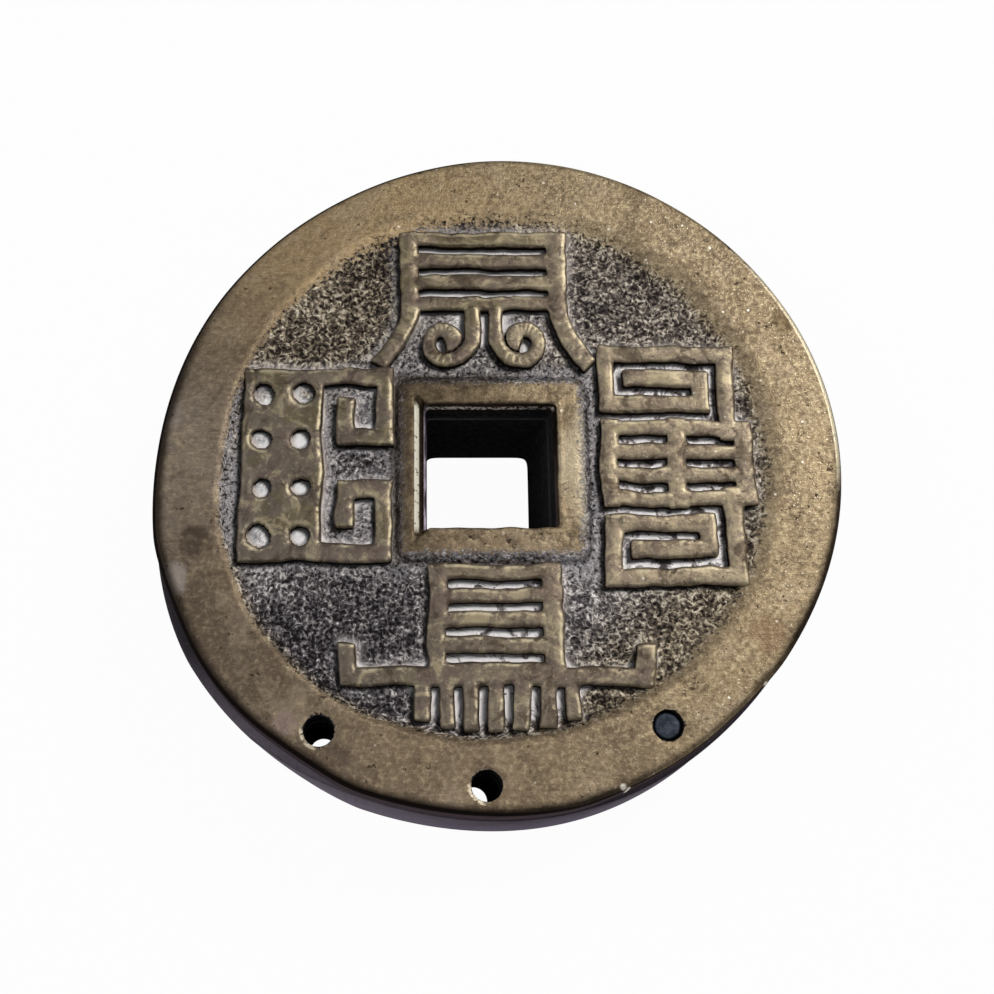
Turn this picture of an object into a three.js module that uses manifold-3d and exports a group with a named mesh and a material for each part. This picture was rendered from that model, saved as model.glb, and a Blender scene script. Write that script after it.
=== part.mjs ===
// A thick decorative cash coin: a cast brass face plate with a raised rim, a recessed field,
// a raised square collar and four fret ornaments, joined by a thin dark layer to a heavy dark
// back disc. A square opening runs through all of it, and three small bores run down from the
// rim. The right-hand bore still holds a short steel pin.
//
// Millimetres, +Z out of the face, +Y towards the top of the face. The origin is in the middle
// of the underside.

import * as THREE from 'three';
import { mergeVertices } from 'three/addons/utils/BufferGeometryUtils.js';
import Module from 'manifold-3d';

const wasm = await Module();
wasm.setup();

// Discs
const BODY_DIAMETER = 60;
const BODY_THICKNESS = 9.6;
const BODY_FOOT_ROUND = 0.6;
const BODY_SHOULDER_ROUND = 0.25;
const SEAM_THICKNESS = 0.4;
const SEAM_INSET = 0.5;
const PLATE_INSET = 0.1;
const PLATE_THICKNESS = 3.0;
const PLATE_EDGE_ROUND = 0.9;

// Casting draft, for each millimetre of height: the side leans in towards the face, and the
// opening widens towards it
const SIDE_DRAFT = 0.07;
const OPENING_DRAFT = 0.06;

// Recessed field inside the rim
const FIELD_DIAMETER = 44.8;
const FIELD_DEPTH = 0.8;
const FIELD_SLOPE = 1.1;

// Square opening and the raised collar round it
const SQUARE_SIDE = 11;
const SQUARE_CORNER = 0.7;
const BODY_LEDGE = 0.25;
const COLLAR_WIDTH = 2.4;
const COLLAR_ROUND = 0.65;
const COLLAR_DROP = 0.08;

// Three bores in the lower rim, drilled by hand, and the pin left in the last one. Each has its
// own distance from the foot's edge and its own angle.
const BORE_DIAMETER = 2.5;
const BORE_RIM_INSETS = [3.9, 3.7, 4.4];
const BORE_ANGLES = [-122.5, -91.5, -57.5];
const BORE_COUNTERSINK = 0.25;
const PIN_CLEARANCE = 0.3;
const PIN_RECESS = 0.7;
const PIN_CHAMFER = 0.25;
const PIN_SEAT_DEPTH = 6.0;

// Fret ornaments
const RELIEF = 0.72;
const RELIEF_EDGE = 0.12;
const STROKE = 1.4;
const REED = 1.15;
const GROOVE = 0.85;
const CANOPY_GROOVES = 3;
const ALTAR_GROOVES = 4;
const LATTICE_GROOVES = 3;
const COLLAR_MARGIN = 0.7;
const FIELD_MARGIN = 1.0;
const CANOPY_WIDTH = 14.4;
const CANOPY_FLARE = 2.4;
const SCROLL_RADIUS = 2.2;
const SCROLL_TURNS = 1.15;
const ALTAR_WIDTH = 10.8;
const ALTAR_ARM = 12.0;
const ALTAR_ARM_RISE = 2.0;
const FRINGE_TEETH = 7;
const FRINGE_MARGIN = 0.7;
const STUD_PANEL_WIDTH = 16.8;
const STUD_PANEL_DEPTH = 6.8;
const STUD_ROWS = 2;
const STUD_COLUMNS = 4;
const STUD_PIT = 1.9;
const STUD_HOOK_WIDTH = 5.4;
const LATTICE_HOOK_WIDTH = 4.6;
const LATTICE_HOOK_DROP = 1.9;

// Facets
const RIM_SIDES = 120;
const BORE_SIDES = 28;
const ROUND_STEPS = 4;
const SINK = 0.6;

// Levels and places that follow from the sizes
const BODY_RADIUS = BODY_DIAMETER / 2;
const SEAM_Z = BODY_THICKNESS;
const PLATE_Z = SEAM_Z + SEAM_THICKNESS;
const TOP_Z = PLATE_Z + PLATE_THICKNESS;
const FIELD_Z = TOP_Z - FIELD_DEPTH;
const FIELD_RADIUS = FIELD_DIAMETER / 2;
const radiusAt = (z) => BODY_RADIUS - SIDE_DRAFT * z;
const openingAt = (z) => SQUARE_SIDE - 2 * OPENING_DRAFT * (TOP_Z - z);
const COLLAR_OUTER = SQUARE_SIDE / 2 + COLLAR_WIDTH;
const INNER_REACH = COLLAR_OUTER + COLLAR_MARGIN;
const OUTER_REACH = FIELD_RADIUS - FIELD_MARGIN;
const REED_PITCH = REED + GROOVE;
const reedsAcross = (grooves) => grooves * REED_PITCH + REED;
const BORE_PLACES = BORE_ANGLES.map((degrees, i) => {
  const angle = THREE.MathUtils.degToRad(degrees);
  const reach = BODY_RADIUS - BORE_RIM_INSETS[i];
  return new THREE.Vector2(reach * Math.cos(angle), reach * Math.sin(angle));
});
const PIN_PLACE = BORE_PLACES[2];

// Closed geometry to a solid that can be joined and cut, and back.
function solidOf(geometry) {
  const bare = geometry.clone();
  bare.deleteAttribute('normal');
  bare.deleteAttribute('uv');
  const merged = mergeVertices(bare, 1e-4);
  return new wasm.Manifold(new wasm.Mesh({
    numProp: 3,
    vertProperties: Float32Array.from(merged.attributes.position.array),
    triVerts: Uint32Array.from(merged.index.array),
  }));
}

function geometryOf(solid) {
  const mesh = solid.getMesh();
  const geometry = new THREE.BufferGeometry();
  geometry.setAttribute('position', new THREE.BufferAttribute(mesh.vertProperties, 3));
  geometry.setIndex(new THREE.BufferAttribute(mesh.triVerts, 1));
  const faceted = geometry.toNonIndexed();
  faceted.computeVertexNormals();
  return faceted;
}

// Points of a quarter round from one angle to another, in degrees.
function roundPoints(x, z, radius, from, to, steps = ROUND_STEPS) {
  return Array.from({ length: steps + 1 }, (_, i) => {
    const angle = THREE.MathUtils.degToRad(from + ((to - from) * i) / steps);
    return new THREE.Vector2(x + radius * Math.cos(angle), z + radius * Math.sin(angle));
  });
}

// A ring turned from a closed outline of (radius, height) points, its axis along Z. Its eye is
// smaller than the square opening that is cut through it afterwards.
function turnedRing(points, sides = RIM_SIDES) {
  const eye = SQUARE_SIDE / 4;
  const low = points[0].y;
  const high = points[points.length - 1].y;
  const outline = [
    new THREE.Vector2(eye, low), ...points, new THREE.Vector2(eye, high),
    new THREE.Vector2(eye, low),
  ];
  return new THREE.LatheGeometry(outline, sides).rotateX(Math.PI / 2);
}

function squareOutline(side, corner) {
  const half = side / 2;
  const shape = new THREE.Shape();
  shape.moveTo(-half + corner, -half);
  shape.lineTo(half - corner, -half);
  shape.quadraticCurveTo(half, -half, half, -half + corner);
  shape.lineTo(half, half - corner);
  shape.quadraticCurveTo(half, half, half - corner, half);
  shape.lineTo(-half + corner, half);
  shape.quadraticCurveTo(-half, half, -half, half - corner);
  shape.lineTo(-half, -half + corner);
  shape.quadraticCurveTo(-half, -half, -half + corner, -half);
  return shape;
}

// The cutter that opens a disc from one level to another, its four sides leaning with the draft.
function squareCutter(ledge, low, high) {
  const geometry = new THREE.ExtrudeGeometry(squareOutline(1, SQUARE_CORNER / SQUARE_SIDE), {
    depth: high - low, bevelEnabled: false, curveSegments: ROUND_STEPS,
  });
  geometry.translate(0, 0, low);
  const { position } = geometry.attributes;
  for (let i = 0; i < position.count; i++) {
    const side = openingAt(position.getZ(i)) - 2 * ledge;
    position.setXY(i, position.getX(i) * side, position.getY(i) * side);
  }
  return solidOf(geometry);
}

function boreCutter(place, low, high, radius = BORE_DIAMETER / 2, topRadius = radius) {
  const geometry = new THREE.CylinderGeometry(topRadius, radius, high - low, BORE_SIDES);
  geometry.rotateX(Math.PI / 2).translate(place.x, place.y, (low + high) / 2);
  return solidOf(geometry);
}

// Face plate: the turned blank with its rounded edge, rim and field.
function plateBlank() {
  const slope = Array.from({ length: ROUND_STEPS + 1 }, (_, i) => {
    const share = i / ROUND_STEPS;
    const rise = (1 + Math.cos(Math.PI * share)) / 2;
    return new THREE.Vector2(FIELD_RADIUS + FIELD_SLOPE * (1 - share), FIELD_Z + FIELD_DEPTH * rise);
  });
  const high = radiusAt(TOP_Z) - PLATE_INSET;
  return solidOf(turnedRing([
    new THREE.Vector2(radiusAt(PLATE_Z) - PLATE_INSET, PLATE_Z),
    ...roundPoints(high - PLATE_EDGE_ROUND, TOP_Z - PLATE_EDGE_ROUND, PLATE_EDGE_ROUND, 0, 90),
    ...slope,
  ]));
}

// The raised square collar, rounded over both of its edges.
function collar() {
  const outline = squareOutline(2 * COLLAR_OUTER, SQUARE_CORNER + COLLAR_WIDTH / 2);
  outline.holes.push(squareOutline(openingAt(PLATE_Z), SQUARE_CORNER));
  const low = FIELD_Z - SINK;
  const height = TOP_Z - COLLAR_DROP - low;
  const geometry = new THREE.ExtrudeGeometry(outline, {
    depth: height - 2 * COLLAR_ROUND, bevelEnabled: true, bevelThickness: COLLAR_ROUND,
    bevelSize: COLLAR_ROUND, bevelOffset: -COLLAR_ROUND, bevelSegments: ROUND_STEPS,
    curveSegments: ROUND_STEPS,
  });
  return solidOf(geometry.translate(0, 0, low + COLLAR_ROUND));
}

// Outline of a bar of even width along a bent centre line, with mitred bends.
function strokeOutline(path, width) {
  const normals = path.slice(1).map((p, i) => {
    const along = new THREE.Vector2().subVectors(p, path[i]).normalize();
    return new THREE.Vector2(-along.y, along.x);
  });
  const offsets = path.map((_, i) => {
    const before = normals[Math.max(i - 1, 0)];
    const after = normals[Math.min(i, normals.length - 1)];
    const mitre = new THREE.Vector2().addVectors(before, after).normalize();
    return mitre.multiplyScalar(width / 2 / mitre.dot(before));
  });
  const left = path.map((p, i) => p.clone().add(offsets[i]));
  const right = path.map((p, i) => p.clone().sub(offsets[i])).reverse();
  return new THREE.Shape([...left, ...right]);
}

function boxOutline(left, low, right, high) {
  return new THREE.Shape([
    new THREE.Vector2(left, low), new THREE.Vector2(right, low),
    new THREE.Vector2(right, high), new THREE.Vector2(left, high),
  ]);
}

// A groove with round ends, along U or along V.
function grooveOutline(u, v, length, width, alongV = false) {
  const path = new THREE.Path();
  const run = (length - width) / 2;
  const turn = alongV ? Math.PI / 2 : 0;
  const [du, dv] = alongV ? [0, run] : [run, 0];
  path.absarc(u + du, v + dv, width / 2, turn - Math.PI / 2, turn + Math.PI / 2, false);
  path.absarc(u - du, v - dv, width / 2, turn + Math.PI / 2, turn + Math.PI * 1.5, false);
  path.closePath();
  return path;
}

function pitOutline(u, v, size) {
  const path = new THREE.Path();
  path.absarc(u, v, size / 2, 0, Math.PI * 2, false);
  return path;
}

// A bent bar through (U, V) corners, or its mirror image on the other side.
function bar(corners, side = 1, width = STROKE) {
  return strokeOutline(corners.map(([u, v]) => new THREE.Vector2(side * u, v)), width);
}

// A cloud scroll: a stem from its root down to a spiral that winds inwards.
function scroll(near, root, middle, side) {
  const steps = Math.round(SCROLL_TURNS * 12);
  const corners = [[near, root]];
  for (let i = 0; i <= steps; i++) {
    const angle = Math.PI * (1 + (2 * SCROLL_TURNS * i) / steps);
    const reach = SCROLL_RADIUS - (REED_PITCH * SCROLL_TURNS * i) / steps / 1.25;
    corners.push([near + SCROLL_RADIUS + reach * Math.cos(angle), middle + reach * Math.sin(angle)]);
  }
  return bar(corners, side, REED);
}

// One outline raised from the field, its edges slightly worn.
function raised(shape, turn) {
  const low = FIELD_Z - SINK;
  const height = FIELD_Z + RELIEF - low;
  const geometry = new THREE.ExtrudeGeometry(shape, {
    depth: height - 2 * RELIEF_EDGE, bevelEnabled: true, bevelThickness: RELIEF_EDGE,
    bevelSize: RELIEF_EDGE, bevelOffset: -RELIEF_EDGE, bevelSegments: 1, curveSegments: 5,
  });
  geometry.translate(0, 0, low + RELIEF_EDGE).rotateZ(THREE.MathUtils.degToRad(turn));
  return solidOf(geometry);
}

// In each ornament U runs across it and V runs out from the coin's middle.
// Top: a reeded canopy on two flared legs, with a pair of cloud scrolls between them.
function canopyOutlines() {
  const half = CANOPY_WIDTH / 2;
  const eave = OUTER_REACH - reedsAcross(CANOPY_GROOVES);
  const root = eave + STROKE / 2;
  const panel = boxOutline(-half, eave, half, OUTER_REACH);
  for (let i = 0; i < CANOPY_GROOVES; i++) {
    const v = OUTER_REACH - REED_PITCH * (i + 1) + GROOVE / 2;
    panel.holes.push(grooveOutline(0, v, CANOPY_WIDTH - 2 * STROKE, GROOVE));
  }
  const shapes = [panel];
  for (const side of [-1, 1]) {
    const middle = (root + INNER_REACH) / 2;
    const foot = half + CANOPY_FLARE;
    const leg = new THREE.Shape();
    leg.moveTo(side * half, root);
    leg.quadraticCurveTo(side * half, middle, side * foot, INNER_REACH + STROKE / 2);
    leg.lineTo(side * (foot - STROKE), INNER_REACH);
    leg.quadraticCurveTo(side * (half - STROKE), middle, side * (half - STROKE), root);
    leg.closePath();
    shapes.push(leg, scroll((GROOVE + REED) / 2, root, INNER_REACH + SCROLL_RADIUS + REED / 2, side));
  }
  return shapes;
}

// Left: a panel of round pits, with a pair of squared hooks towards the collar.
function studOutlines() {
  const half = STUD_PANEL_WIDTH / 2;
  const root = OUTER_REACH - STUD_PANEL_DEPTH;
  const panel = boxOutline(-half, root, half, OUTER_REACH);
  for (let row = 0; row < STUD_ROWS; row++) {
    for (let column = 0; column < STUD_COLUMNS; column++) {
      const u = -half + (STUD_PANEL_WIDTH * (column + 0.5)) / STUD_COLUMNS;
      const v = root + (STUD_PANEL_DEPTH * (row + 0.5)) / STUD_ROWS;
      panel.holes.push(pitOutline(u, v, STUD_PIT));
    }
  }
  const far = half - STROKE / 2;
  const near = far - STUD_HOOK_WIDTH;
  const tip = INNER_REACH + STROKE / 2;
  const back = (tip + root) / 2 + STROKE / 2;
  const hook = [[far, root + STROKE / 2], [far, tip], [near, tip], [near, back],
    [(near + far) / 2, back]];
  return [panel, bar(hook, -1), bar(hook, 1)];
}

// Bottom: a reeded stem, a long arm across it with raised ends, and a fringe of teeth whose tips
// follow the rim.
function altarOutlines() {
  const half = ALTAR_WIDTH / 2;
  const shelf = INNER_REACH + reedsAcross(ALTAR_GROOVES);
  const panel = boxOutline(-half, INNER_REACH, half, shelf);
  for (let i = 0; i < ALTAR_GROOVES; i++) {
    const v = INNER_REACH + REED_PITCH * (i + 1) - GROOVE / 2;
    panel.holes.push(grooveOutline(0, v, ALTAR_WIDTH - 2 * STROKE, GROOVE));
  }
  const rise = shelf - ALTAR_ARM_RISE;
  const shapes = [panel, bar([[-ALTAR_ARM, rise], [-ALTAR_ARM, shelf], [ALTAR_ARM, shelf],
    [ALTAR_ARM, rise]])];
  for (let i = 0; i < FRINGE_TEETH; i++) {
    const u = REED_PITCH * (i - (FRINGE_TEETH - 1) / 2);
    const tip = Math.sqrt((FIELD_RADIUS - FRINGE_MARGIN) ** 2 - u * u);
    shapes.push(boxOutline(u - REED / 2, shelf, u + REED / 2, tip));
  }
  return shapes;
}

// Right: a lattice of grooves in two rows, with a long squared spiral on either side.
function latticeOutlines() {
  const half = reedsAcross(LATTICE_GROOVES) / 2;
  const panel = boxOutline(-half, INNER_REACH, half, OUTER_REACH);
  const length = (OUTER_REACH - INNER_REACH - 3 * STROKE) / 2;
  for (let i = 0; i < LATTICE_GROOVES; i++) {
    const u = -half + REED_PITCH * (i + 1) - GROOVE / 2;
    for (const row of [1, 3]) {
      const v = INNER_REACH + ((OUTER_REACH - INNER_REACH) * row + (2 - row) * STROKE / 2) / 4;
      panel.holes.push(grooveOutline(u, v, length, GROOVE, true));
    }
  }
  const near = half + GROOVE + STROKE / 2;
  const far = near + LATTICE_HOOK_WIDTH;
  const tip = INNER_REACH + STROKE / 2;
  const root = OUTER_REACH - LATTICE_HOOK_DROP;
  const back = root - STROKE - GROOVE;
  const spiral = [[half - STROKE / 2, root], [far, root], [far, tip], [near, tip], [near, back],
    [(near + far) / 2, back], [(near + far) / 2, tip + STROKE + GROOVE]];
  return [panel, bar(spiral, -1), bar(spiral, 1)];
}

function facePlate() {
  let plate = plateBlank().add(collar());
  const ornaments = [[canopyOutlines(), 0], [studOutlines(), 90], [altarOutlines(), 180],
    [latticeOutlines(), 270]];
  for (const [shapes, turn] of ornaments) {
    for (const shape of shapes) plate = plate.add(raised(shape, turn));
  }
  plate = plate.subtract(squareCutter(0, PLATE_Z - 1, TOP_Z + 1));
  for (const place of BORE_PLACES) {
    plate = plate.subtract(boreCutter(place, PLATE_Z - 1, TOP_Z + 1));
    const wide = BORE_DIAMETER / 2 + BORE_COUNTERSINK;
    plate = plate.subtract(boreCutter(place, TOP_Z - BORE_COUNTERSINK, TOP_Z + BORE_COUNTERSINK,
      BORE_DIAMETER / 2, wide + BORE_COUNTERSINK));
  }
  return geometryOf(plate);
}

function seamLayer() {
  const radius = radiusAt(PLATE_Z) - SEAM_INSET;
  let layer = solidOf(turnedRing([
    new THREE.Vector2(radius, SEAM_Z), new THREE.Vector2(radius, PLATE_Z),
  ]));
  layer = layer.subtract(squareCutter(0, SEAM_Z - 1, PLATE_Z + 1));
  for (const place of BORE_PLACES) {
    layer = layer.subtract(boreCutter(place, SEAM_Z - 1, PLATE_Z + 1));
  }
  return geometryOf(layer);
}

// Back disc: rounded foot and shoulder, a square opening a little narrower than the plate's, two
// open bores, and a blind one for the pin.
function backBody() {
  let body = solidOf(turnedRing([
    ...roundPoints(BODY_RADIUS - BODY_FOOT_ROUND, BODY_FOOT_ROUND, BODY_FOOT_ROUND, -90, 0),
    ...roundPoints(radiusAt(SEAM_Z) - BODY_SHOULDER_ROUND, SEAM_Z - BODY_SHOULDER_ROUND,
      BODY_SHOULDER_ROUND, 0, 90, 2),
  ]));
  body = body.subtract(squareCutter(BODY_LEDGE, -1, SEAM_Z + 1));
  for (const place of BORE_PLACES) {
    const low = place === PIN_PLACE ? SEAM_Z - PIN_SEAT_DEPTH : -1;
    body = body.subtract(boreCutter(place, low, SEAM_Z + 1));
  }
  return geometryOf(body);
}

// The pin stands on the flat floor of its bore, and its chamfered head stays below the rim.
function rimPin() {
  const radius = BORE_DIAMETER / 2 - PIN_CLEARANCE;
  const foot = SEAM_Z - PIN_SEAT_DEPTH;
  const head = TOP_Z - PIN_RECESS;
  const outline = [
    new THREE.Vector2(0, foot), new THREE.Vector2(radius - PIN_CHAMFER, foot),
    new THREE.Vector2(radius, foot + PIN_CHAMFER), new THREE.Vector2(radius, head - PIN_CHAMFER),
    new THREE.Vector2(radius - PIN_CHAMFER, head), new THREE.Vector2(0, head),
  ];
  const geometry = new THREE.LatheGeometry(outline, BORE_SIDES).rotateX(Math.PI / 2);
  return geometry.translate(PIN_PLACE.x, PIN_PLACE.y, 0);
}

function piece(name, geometry, color, roughness, metalness) {
  const mesh = new THREE.Mesh(geometry,
    new THREE.MeshStandardMaterial({ color, roughness, metalness }));
  mesh.name = name;
  return mesh;
}

const coin = new THREE.Group();
coin.name = 'cash_coin';
coin.add(
  piece('face_plate', facePlate(), 0x8c7a58, 0.45, 0.9),
  piece('seam_layer', seamLayer(), 0x1c1719, 0.8, 0.1),
  piece('back_body', backBody(), 0x4a464c, 0.6, 0.7),
  piece('rim_pin', rimPin(), 0x464d57, 0.4, 0.9),
);

export default coin;
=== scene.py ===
# %% [markdown]
# # A thick cash coin in aged brass
#
# The object is a heavy, palm-sized coin with a square opening. A cast brass plate with a raised
# rim and four raised ornaments lies on a darker metal disc. Three small bores run down from the
# lower rim, and one of them still holds a steel pin.
#
# The measured solids come first, as a fixed frame. Everything made below is laid over them, at
# the same size and in the same place.

# %% Load the frame
import math

import bmesh
import bpy
import numpy as np
from mathutils import Matrix, Vector, noise


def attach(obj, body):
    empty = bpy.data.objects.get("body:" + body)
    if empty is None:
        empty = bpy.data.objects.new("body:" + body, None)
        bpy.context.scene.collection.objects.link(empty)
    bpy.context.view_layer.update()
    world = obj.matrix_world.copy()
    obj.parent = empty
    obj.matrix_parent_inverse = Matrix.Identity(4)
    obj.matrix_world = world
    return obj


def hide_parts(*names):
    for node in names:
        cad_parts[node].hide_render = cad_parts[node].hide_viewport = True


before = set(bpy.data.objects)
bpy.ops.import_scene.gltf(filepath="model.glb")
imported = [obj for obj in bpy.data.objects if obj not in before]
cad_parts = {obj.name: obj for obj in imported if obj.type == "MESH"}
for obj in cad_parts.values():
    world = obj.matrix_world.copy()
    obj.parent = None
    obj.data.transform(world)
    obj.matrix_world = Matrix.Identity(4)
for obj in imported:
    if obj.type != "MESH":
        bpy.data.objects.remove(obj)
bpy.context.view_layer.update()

# %% [markdown]
# ## Sizes
#
# A coin like this is drawn on paper before it is cut, so every size has a name. Lengths are in
# millimetres, because that is how such a small thing is measured, and each mesh is scaled to
# metres once, when it is finished. The sides lean a little, as a casting needs to leave its
# mould: the disc narrows towards the face, and the opening widens towards it.

# %% Sizes in millimetres
MM = 0.001
RADIUS, TOP = 30.0, 13.0
FLARE, NARROWING = 0.07, 0.04
PLATE_LOW, PLATE_INSET, EDGE_ROUND = 10.0, 0.1, 0.6
BODY_TOP, BODY_FOOT, BODY_SHOULDER, BODY_LEDGE = 9.6, 0.6, 0.25, 0.15
SEAM_INSET = 0.5
FIELD_RADIUS, FIELD_DEPTH = 22.4, 0.8
FIELD_Z = TOP - FIELD_DEPTH
OPENING, OPENING_ROUND, COLLAR_OUTER, COLLAR_SLOPE, COLLAR_TOP = 5.5, 0.3, 8.1, 1.15, 12.92
BORE_RADIUS = 1.25
BORES = [Vector((reach * math.cos(math.radians(a)), reach * math.sin(math.radians(a)), 0))
         for reach, a in ((26.1, -122.5), (26.3, -91.5), (25.6, -57.5))]
PIN_RADIUS, PIN_LOW, PIN_TOP = 1.1, 3.6, 12.5
RELIEF, REED, GROOVE, STROKE = 0.72, 1.15, 0.85, 1.4
PITCH = REED + GROOVE
INNER_REACH, OUTER_REACH = 8.6, 21.4


def side_at(z):
    return RADIUS - FLARE * z


def opening_at(z):
    return OPENING - NARROWING * (TOP - z)


print("side radius", side_at(0), side_at(TOP), "opening half", opening_at(0), opening_at(TOP))


# %% [markdown]
# ## Helpers for meshes
#
# A few small helpers are used by every piece. Three of them turn a bmesh into an object at the
# origin and let it ride on the coin's body. One walks along a profile so that its points lie
# evenly, and one spins a profile. The others work out modifiers, write values for the finishes,
# and read the points into an array, so that a whole surface can be pressed and worn at once: the
# form is made first, and the years of use come after it.


# %% Mesh helpers
def placed(name, data):
    """A new object of the scene."""
    thing = bpy.data.objects.new(name, data)
    bpy.context.scene.collection.objects.link(thing)
    return thing


def solid(bm, name):
    """A new object from a bmesh, which ends with it."""
    mesh = bpy.data.meshes.new(name)
    bm.to_mesh(mesh)
    bm.free()
    return placed(name, mesh)


def finish(bm, name, node, slot, *materials):
    """A named object from a bmesh drawn in millimetres, standing for a node of the frame."""
    bmesh.ops.scale(bm, vec=(MM,) * 3, verts=bm.verts)
    piece = solid(bm, name)
    mesh = piece.data
    mesh.polygons.foreach_set("use_smooth", [True] * len(mesh.polygons))
    for material in materials:
        mesh.materials.append(material)
    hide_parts(node)
    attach(piece, "root")
    return piece


def walk(corners, step):
    """Points along a profile, about one step apart, with every corner kept."""
    points = [Vector(corners[0])]
    for a, b in zip(corners, corners[1:]):
        a, b = Vector(a), Vector(b)
        count = max(1, round((b - a).length / step))
        points += [a.lerp(b, (i + 1) / count) for i in range(count)]
    return points


def arc(x, z, radius, start, end, steps):
    """Points of a round between two angles in degrees, in the plane of a profile."""
    turns = [math.radians(start + (end - start) * i / steps) for i in range(steps + 1)]
    return [Vector((x + radius * math.cos(t), z + radius * math.sin(t))) for t in turns]


def turned(profile, sides, closed=True):
    """A profile of (radius, height) points spun round the Z axis. One that isn't closed starts
    and ends on the axis."""
    bm = bmesh.new()
    verts = [bm.verts.new((x, 0, z)) for x, z in profile]
    for a, b in zip(verts, verts[1:] + (verts[:1] if closed else [])):
        bm.edges.new((a, b))
    bmesh.ops.spin(bm, geom=bm.verts[:] + bm.edges[:], cent=(0, 0, 0), axis=(0, 0, 1),
                   angle=math.tau, steps=sides, use_merge=True)
    bmesh.ops.remove_doubles(bm, verts=bm.verts, dist=1e-5)
    bmesh.ops.recalc_face_normals(bm, faces=bm.faces)
    return bm


def baked(thing):
    """The mesh of an object after its modifiers."""
    depsgraph = bpy.context.evaluated_depsgraph_get()
    return bpy.data.meshes.new_from_object(thing.evaluated_get(depsgraph))


def tag(bm, masks):
    """Writes named values to the vertices, for the finishes to read."""
    for name, values in masks.items():
        layer = bm.verts.layers.float.new(name)
        for v, value in zip(bm.verts, values):
            v[layer] = value


def points_of(bm):
    return np.array([v.co[:] for v in bm.verts])


def move_to(bm, points):
    for v, p in zip(bm.verts, points):
        v.co = p


def polar(points):
    """How far from the axis each point lies, and at what angle."""
    return np.hypot(points[:, 0], points[:, 1]), np.arctan2(points[:, 1], points[:, 0])


def smoothstep(low, high, x):
    t = np.clip((x - low) / (high - low), 0, 1)
    return t * t * (3 - 2 * t)


def lumps(points, size, seed):
    """Soft noise from -1 to 1 at each point, its lumps about one size across."""
    shift = Vector((seed * 17.3, seed * 5.1, seed * 9.7))
    return np.array([noise.noise(Vector(p) / size + shift) for p in points])


# %% [markdown]
# ## Round, oval and square
#
# The coin was filed by hand, so its outline isn't a true circle: it is slightly longer along one
# diagonal. The opening is square with worn corners. Both are made by moving the rings of a
# turned form: near the middle a ring becomes a rounded square, and near the rim it becomes the
# slightly uneven oval.

# %% Shape the rings
# Rings within the first reach are square, and those beyond the second are round.
SQUARE_REACH, ROUND_REACH = 9.0, 17.0
SOFT_CORNER, SHARP_CORNER = 14, 40
OVAL_REACH, FILED_REACH, CAST_SHARE, WIDEST = (12, 25), (23, 29), 0.9915, 29.95
OPENING_LEAN, COLLAR_SHIFT = (-0.66, 0.1), (0.2, -0.08)
# Each row: how many lobes stand round the outline, their height in mm and the angle of one.
CAST_LOBES = ((1, 0.22, -47), (2, 0.56, 41), (3, 0.14, -28))
FILED_LOBES = ((1, 0.22, -28), (2, 0.06, 36), (3, 0.06, -10), (4, 0.11, 31), (5, 0.16, 3),
               (6, 0.05, -21))
# Each row: an angle, the depth filed away there in mm, and the cosines from nothing to all of it.
FILED_BACK = ((220, 0.72, 0.88, 0.985), (304, 0.3, 0.93, 0.995))


def lobed(turn, lobes):
    """The height of some sets of lobes at each angle round the coin."""
    return sum(high * np.cos(count * (turn - math.radians(place))) for count, high, place in lobes)


def shaped(points):
    """Moves rings of a turned form outwards or inwards by their angle."""
    reach, turn = polar(points)
    # The corners of the opening are sharper near the face than at the foot.
    power = SOFT_CORNER + (SHARP_CORNER - SOFT_CORNER) * smoothstep(2, 10, points[:, 2])
    power += (SOFT_CORNER - power) * smoothstep(OPENING + 0.3, COLLAR_OUTER, reach)
    corner = (np.abs(np.cos(turn)) ** power + np.abs(np.sin(turn)) ** power) ** (-1 / power)
    scale = 1 + (1 - smoothstep(SQUARE_REACH, ROUND_REACH, reach)) * (corner - 1)
    swell = lobed(turn, CAST_LOBES) / RADIUS
    scale *= 1 + smoothstep(*OVAL_REACH, reach) * (CAST_SHARE * (1 + swell) - 1)
    # The file left flats and shoulders on the outer edge, a few tenths of a millimetre each.
    scale += smoothstep(*FILED_REACH, reach) * lobed(turn, FILED_LOBES) / RADIUS
    scale = np.minimum(scale, np.where(reach < 28, np.inf, WIDEST / np.maximum(reach, 1)))
    points = points * np.stack([scale, scale, scale * 0 + 1], 1)
    # The opening leans to the left on its way down, the collar isn't quite in the middle, and the
    # lower edge of the opening stands a little higher.
    lean = (1 - smoothstep(7, 9, reach)) * (TOP - np.minimum(points[:, 2], TOP)) / TOP
    offset = smoothstep(6.2, COLLAR_OUTER, reach) * (1 - smoothstep(9, 13, reach))
    for axis in (0, 1):
        points[:, axis] += COLLAR_SHIFT[axis] * offset + OPENING_LEAN[axis] * lean
    points[:, 1] += 0.2 * smoothstep(-3, -5, points[:, 1]) * (1 - smoothstep(6.5, 8, reach))
    return points


def filed_back(points):
    """Moves the edge inwards where the plate is filed smaller than the disc below it: most at the
    lower left, and a little at the lower right."""
    reach, turn = polar(points)
    for angle, depth, low, high in FILED_BACK:
        near = smoothstep(low, high, np.cos(turn - math.radians(angle)))
        points[:, :2] *= (1 - depth / RADIUS * near * smoothstep(24, 29, reach))[:, None]
    return points


ring = shaped(np.array([(RADIUS * math.cos(t / 50), RADIUS * math.sin(t / 50), 0)
                        for t in range(314)]))
print("outline from", ring.min(0).round(2), "to", ring.max(0).round(2))

# %% [markdown]
# ## Helpers for shader maths
#
# A finish is written as arithmetic. A small class wraps a socket, so that `1 - mask` or
# `grain * 0.3 + dirt` adds the Math nodes by itself. Colours are mixed with Mix nodes, because a
# Math node would turn them grey.


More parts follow.
